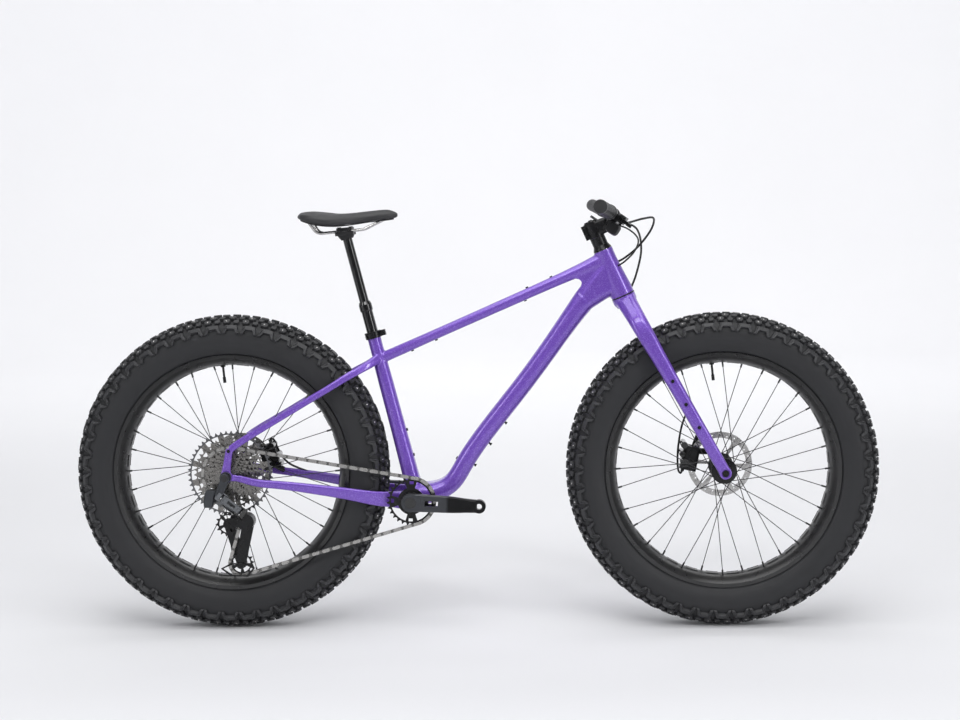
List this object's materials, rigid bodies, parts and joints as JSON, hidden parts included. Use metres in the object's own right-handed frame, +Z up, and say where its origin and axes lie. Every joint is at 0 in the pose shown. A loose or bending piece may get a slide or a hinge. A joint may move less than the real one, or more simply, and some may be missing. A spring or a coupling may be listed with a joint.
{
  "type": "fat tire bike",
  "caption": "Hardtail bicycle with very wide knobbly tyres, a dropper seatpost, disc brakes and a single-ring chain drive with a wide-range rear cassette",
  "frame": {"origin": "on the ground, midway between the wheels", "axes": "+X forward, +Y to the rider's left, +Z up"},
  "size_m": [1.9584, 0.7882, 1.0397],
  "materials": {
    "frame_paint": "sparkle paint under clear coat",
    "black_gloss": "gloss black",
    "black_metal": "satin black",
    "black_plastic": "matte black",
    "grey_metal": "anodised grey",
    "steel": "brushed",
    "tyre_rubber": "matte rubber",
    "rubber": "matte rubber",
    "saddle_skin": "matte synthetic cover",
    "pad_compound": "rough"
  },
  "bodies": {
    "frame": {"frame": "frame_paint", "frame_bolts": "black_metal", "seat_collar": "black_metal", "dropper_outer_tube": "black_gloss", "headset_bearings": "steel", "bottom_bracket_cups": "black_metal", "rear_thru_axle": "black_metal", "rear_caliper": "black_metal", "frame_hoses": "rubber", "chain": "steel", "derailleur_base": "black_metal"},
    "steering": {"fork": "frame_paint", "headset_spacers": "black_metal", "stem": "black_metal", "stem_faceplate": "black_metal", "handlebar": "black_metal", "left_grip": "rubber", "right_grip": "rubber", "left_brake_body": "black_metal", "right_brake_body": "black_metal", "shifter_pod": "black_plastic", "front_thru_axle": "black_metal", "front_caliper": "black_metal", "front_brake_hose": "rubber"},
    "front_wheel": {"front_tyre": "tyre_rubber", "front_rim": "black_plastic", "front_spokes": "black_metal", "front_hub": "black_metal", "front_rotor": "steel", "front_valve": "black_metal"},
    "crank": {"right_crank_arm": "grey_metal", "left_crank_arm": "black_metal", "chainring": "black_metal"},
    "cassette_body": {"cassette": "steel"},
    "rear_wheel": {"rear_tyre": "tyre_rubber", "rear_rim": "black_plastic", "rear_spokes": "black_metal", "rear_hub": "black_metal", "rear_rotor": "steel", "rear_valve": "black_metal"},
    "seat": {"dropper_stanchion": "black_gloss", "saddle_clamp": "black_metal", "saddle_rails": "steel", "saddle_shell": "black_plastic", "saddle_cover": "saddle_skin"},
    "outer_link": {"derailleur_outer_link": "grey_metal"},
    "inner_link": {"derailleur_inner_link": "grey_metal"},
    "knuckle": {"derailleur_knuckle": "grey_metal"},
    "cage": {"derailleur_cage": "black_metal"},
    "upper_jockey": {"upper_jockey_wheel": "black_plastic"},
    "lower_jockey": {"lower_jockey_wheel": "black_plastic"},
    "left_lever": {"left_brake_lever": "black_metal"},
    "right_lever": {"right_brake_lever": "black_metal"},
    "remote_lever": {"dropper_lever": "black_plastic"},
    "button_up": {"shift_button_up": "black_plastic"},
    "button_down": {"shift_button_down": "black_plastic"},
    "pad_rear_right": {"rear_pad_right": "pad_compound"},
    "pad_rear_left": {"rear_pad_left": "pad_compound"},
    "pad_front_right": {"front_pad_right": "pad_compound"},
    "pad_front_left": {"front_pad_left": "pad_compound"}
  },
  "joints": [
    {"name": "steering", "type": "hinge", "parent": "frame", "child": "steering", "pos_m": [0.3567, 0, 0.80464], "axis": [-0.4003, 0, 0.9164], "range_deg": [-70, 70], "deforming": ["frame_hoses"]},
    {"name": "front_wheel_spin", "type": "hinge", "parent": "steering", "child": "front_wheel", "pos_m": [0.597, 0, 0.382], "axis": [0, 1, 0], "continuous": true},
    {"name": "crank_spin", "type": "hinge", "parent": "frame", "child": "crank", "pos_m": [-0.158, 0, 0.316], "axis": [0, 1, 0], "continuous": true, "deforming": ["chain"]},
    {"name": "cassette_spin", "type": "hinge", "parent": "frame", "child": "cassette_body", "pos_m": [-0.597, 0, 0.382], "axis": [0, 1, 0], "continuous": true},
    {"name": "freehub", "type": "hinge", "parent": "cassette_body", "child": "rear_wheel", "pos_m": [-0.597, 0, 0.382], "axis": [0, 1, 0], "continuous": true},
    {"name": "dropper_slide", "type": "slide", "parent": "frame", "child": "seat", "axis": [-0.2504, 0, 0.9681], "range_m": [-0.15, 0], "stiffness_N_per_m": 60, "springref_m": 0.3},
    {"name": "right_lever_pull", "type": "hinge", "parent": "steering", "child": "right_lever", "pos_m": [0.34545, -0.26153, 0.99088], "axis": [-0.5591, 0.0216, -0.8288], "range_deg": [0, 20], "stiffness_Nm_per_rad": 1, "springref_deg": -14.32},
    {"name": "left_lever_pull", "type": "hinge", "parent": "steering", "child": "left_lever", "pos_m": [0.34545, 0.26153, 0.99088], "axis": [0.5591, 0.0216, 0.8288], "range_deg": [0, 20], "stiffness_Nm_per_rad": 1, "springref_deg": -14.32},
    {"name": "dropper_lever_push", "type": "hinge", "parent": "steering", "child": "remote_lever", "pos_m": [0.31624, 0.21136, 0.9757], "axis": [-0.5591, -0.0216, -0.8288], "range_deg": [0, 14], "stiffness_Nm_per_rad": 0.5, "springref_deg": -11.46},
    {"name": "shift_up_press", "type": "slide", "parent": "steering", "child": "button_up", "axis": [0.8071, -0.2147, -0.55], "range_m": [0, 0.002], "stiffness_N_per_m": 300, "springref_m": -0.003},
    {"name": "shift_down_press", "type": "slide", "parent": "steering", "child": "button_down", "axis": [0.8071, -0.2147, -0.55], "range_m": [0, 0.002], "stiffness_N_per_m": 300, "springref_m": -0.003},
    {"name": "derailleur_swing", "type": "hinge", "parent": "frame", "child": "outer_link", "pos_m": [-0.603, -0.117, 0.33], "axis": [0.5143, 0.5151, 0.6857], "range_deg": [-45, 10]},
    {"name": "inner_link_swing", "type": "hinge", "parent": "frame", "child": "inner_link", "pos_m": [-0.60794, -0.10329, 0.32341], "axis": [0.5143, 0.5151, 0.6857], "range_deg": [-45, 10]},
    {"name": "knuckle_swing", "type": "hinge", "parent": "outer_link", "child": "knuckle", "pos_m": [-0.5662, -0.117, 0.3024], "axis": [0.5143, 0.5151, 0.6857], "range_deg": [-10, 45]},
    {"name": "cage_swing", "type": "hinge", "parent": "knuckle", "child": "cage", "pos_m": [-0.55, 0, 0.275], "axis": [0, 1, 0], "range_deg": [-30, 3], "stiffness_Nm_per_rad": 2},
    {"name": "upper_jockey_spin", "type": "hinge", "parent": "cage", "child": "upper_jockey", "pos_m": [-0.6017, 0, 0.261], "axis": [0, 1, 0], "continuous": true},
    {"name": "lower_jockey_spin", "type": "hinge", "parent": "cage", "child": "lower_jockey", "pos_m": [-0.5708, 0, 0.165], "axis": [0, 1, 0], "continuous": true},
    {"name": "rear_right_pad_slide", "type": "slide", "parent": "frame", "child": "pad_rear_right", "axis": [0, 1, 0], "range_m": [0, 0.00036]},
    {"name": "rear_left_pad_slide", "type": "slide", "parent": "frame", "child": "pad_rear_left", "axis": [0, -1, 0], "range_m": [0, 0.00036]},
    {"name": "front_right_pad_slide", "type": "slide", "parent": "steering", "child": "pad_front_right", "axis": [0, 1, 0], "range_m": [0, 0.00036]},
    {"name": "front_left_pad_slide", "type": "slide", "parent": "steering", "child": "pad_front_left", "axis": [0, -1, 0], "range_m": [0, 0.00036]}
  ],
  "couplings": [
    {"joint": "cassette_spin", "follows": "crank_spin", "ratio": 0.875},
    {"joint": "upper_jockey_spin", "follows": "crank_spin", "ratio": -2},
    {"joint": "lower_jockey_spin", "follows": "crank_spin", "ratio": 2},
    {"joint": "inner_link_swing", "follows": "derailleur_swing", "ratio": 1},
    {"joint": "knuckle_swing", "follows": "derailleur_swing", "ratio": -1},
    {"joint": "rear_right_pad_slide", "follows": "right_lever_pull", "m_per_rad": 0.001},
    {"joint": "rear_left_pad_slide", "follows": "right_lever_pull", "m_per_rad": 0.001},
    {"joint": "front_right_pad_slide", "follows": "left_lever_pull", "m_per_rad": 0.001},
    {"joint": "front_left_pad_slide", "follows": "left_lever_pull", "m_per_rad": 0.001}
  ]
}
